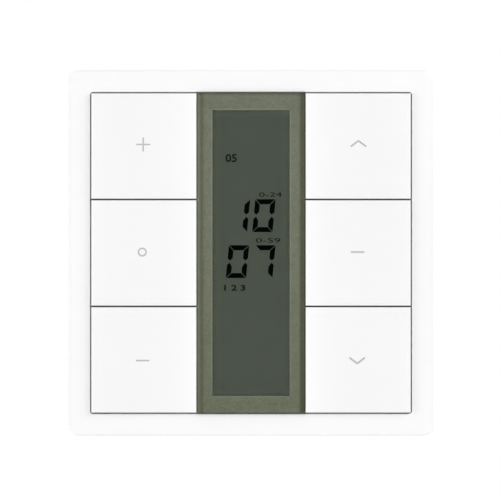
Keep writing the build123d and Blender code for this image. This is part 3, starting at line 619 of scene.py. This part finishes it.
# Sets plain numerals with the built-in font, makes them a mesh and fits them to a width and a height.
def placeText(name, spec, material):
    curve = bpy.data.curves.new(name, "FONT")
    curve.body = spec["text"]
    curve.extrude = 0.5  # any depth will do, because the layer's own is set below
    curve.offset = spec.get("weight", 0)
    curve.resolution_u = legends["curveSteps"]
    text = bpy.data.objects.new(name + "_text", curve)
    bpy.context.scene.collection.objects.link(text)
    bpy.context.view_layer.update()
    mesh = bpy.data.meshes.new_from_object(text.evaluated_get(bpy.context.evaluated_depsgraph_get()))
    bpy.data.objects.remove(text)
    mesh.name = name
    points = np.empty(len(mesh.vertices) * 3)
    mesh.vertices.foreach_get("co", points)
    points = points.reshape(-1, 3)
    low, high = points.min(axis=0), points.max(axis=0)
    unit = (points - (low + high) / 2) / (high - low)
    middle = -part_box("lcd_polariser")[0].y / mm + legends["layer"] / 2 - legends["sink"]
    placed = np.empty_like(points)
    placed[:, 0] = spec["centre"][0] + unit[:, 0] * spec["width"]
    placed[:, 1] = -(middle + unit[:, 2] * legends["layer"])
    placed[:, 2] = spec["centre"][1] + unit[:, 1] * spec["height"]
    mesh.vertices.foreach_set("co", (placed * mm).ravel())
    mesh.update()
    mesh.materials.clear()
    mesh.materials.append(material)
    made = bpy.data.objects.new(name, mesh)
    bpy.context.scene.collection.objects.link(made)
    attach(made, "root")


legendInk = thinPrint("paleLiquidCrystal", legendLook)
for legend, legendSpec in legends["shown"].items():
    placeText("legend_" + legend, legendSpec, legendInk)
print("stage: small numerals")


# Studio: camera, lamps, world and floor

# The lamps have a place and a size in metres and a power in watts, and the floor is in metres too
studio = {
    "pixelsPerMm": 4.512, "pictureWidth": 500, "centreX": 251.0, "centreY": 253.0, "distanceMm": 900,
    "sensorMm": 36, "worldLevel": 0.603,
    "lamps": {"rightLamp": ((0.96, -0.49, 0.58), 0.5, 7.0), "leftLamp": ((-1.03, -0.5, 0.08), 0.5, 4.8)},
    "floorZ": -0.16, "floorHalf": 1.2, "floorColour": "#F8F8F8", "floorRoughness": 0.8,
    "darkRoom": {"level": 0.02, "full": 18, "gone": 40},
}


# A long lens, square on to the frame's face, with the picture's scale and centre.
def placeCamera():
    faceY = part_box("cover_frame")[0].y
    viewWidth = studio["pictureWidth"] / studio["pixelsPerMm"]
    half = studio["pictureWidth"] / 2
    camera = bpy.data.cameras.new("camera")
    camera.sensor_width = studio["sensorMm"]
    camera.lens = studio["sensorMm"] * studio["distanceMm"] / viewWidth
    camera.clip_end = 10  # metres, past the floor's far edge
    holder = bpy.data.objects.new("camera", camera)
    right = (half - studio["centreX"]) / studio["pixelsPerMm"] * mm
    up = (studio["centreY"] - half) / studio["pixelsPerMm"] * mm
    holder.location = (right, faceY - studio["distanceMm"] * mm, up)
    holder.rotation_euler = (math.pi / 2, 0, 0)
    bpy.context.scene.collection.objects.link(holder)
    bpy.context.scene.camera = holder


# A square area lamp that points at the switch.
def placeLamp(name, place, size, power):
    lamp = bpy.data.lights.new(name, "AREA")
    lamp.size = size
    lamp.energy = power
    holder = bpy.data.objects.new(name, lamp)
    holder.location = place
    towards = -np.array(place)
    yaw = math.atan2(towards[1], towards[0])
    pitch = math.atan2(math.hypot(towards[0], towards[1]), -towards[2])
    holder.rotation_euler = (pitch, 0, yaw - math.pi / 2)
    bpy.context.scene.collection.objects.link(holder)


# White where it is seen, mirrored or looked through, except straight in front of the keys, where the
# dark room behind the camera mirrors in the display, and a plain grey level for all other light.
def lightWorld():
    world = bpy.data.worlds.new("studio")
    bpy.context.scene.world = world
    world.use_nodes = True
    tree = world.node_tree
    tree.nodes.clear()
    path = addNode(tree, "ShaderNodeLightPath")
    direction = addNode(tree, "ShaderNodeTexCoord")
    ahead = addNode(
        tree, "ShaderNodeVectorMath", {"operation": "DOT_PRODUCT", 1: (0, -1, 0)},
        {0: direction.outputs["Generated"]},
    )
    room = studio["darkRoom"]  # its angles are in degrees off the way straight ahead
    mirrored = addNode(
        tree, "ShaderNodeMapRange",
        {"interpolation_type": "SMOOTHSTEP", "From Min": math.cos(math.radians(room["gone"])),
         "From Max": math.cos(math.radians(room["full"])), "To Min": 1.0, "To Max": room["level"]},
        {"Value": ahead.outputs["Value"]},
    )
    seen = addNode(
        tree, "ShaderNodeMath", {"operation": "MAXIMUM"},
        {0: path.outputs["Is Camera Ray"], 1: path.outputs["Is Transmission Ray"]},
    )
    glossy = addNode(
        tree, "ShaderNodeMix", {"data_type": "FLOAT", 2: studio["worldLevel"]},
        {0: path.outputs["Is Glossy Ray"], 3: mirrored.outputs["Result"]},
    )
    level = addNode(
        tree, "ShaderNodeMix", {"data_type": "FLOAT", 3: 1.0},
        {0: seen.outputs["Value"], 2: glossy.outputs[0]},
    )
    glow = addNode(tree, "ShaderNodeBackground", {"Color": (1, 1, 1, 1)}, {"Strength": level.outputs[0]})
    addNode(tree, "ShaderNodeOutputWorld", None, {"Surface": glow.outputs[0]})


# A flat square grid well below the switch.
def layFloor():
    half, z = studio["floorHalf"], studio["floorZ"]
    corners = [(-half, -half, z), (half, -half, z), (half, half, z), (-half, half, z)]
    floor = meshObject("floor", corners, [[0, 1, 2, 3]])
    material, tree = newMaterial("paleFloor")
    settings = {"Base Color": linearColour(studio["floorColour"]), "Roughness": studio["floorRoughness"]}
    shader = addNode(tree, "ShaderNodeBsdfPrincipled", settings)
    addNode(tree, "ShaderNodeOutputMaterial", None, {"Surface": shader.outputs[0]})
    floor.data.materials.append(material)


placeCamera()
for lampName, (lampPlace, lampSize, lampPower) in studio["lamps"].items():
    placeLamp(lampName, lampPlace, lampSize, lampPower)
lightWorld()
layFloor()
bpy.context.scene.view_settings.view_transform = "Standard"
print("stage: studio")
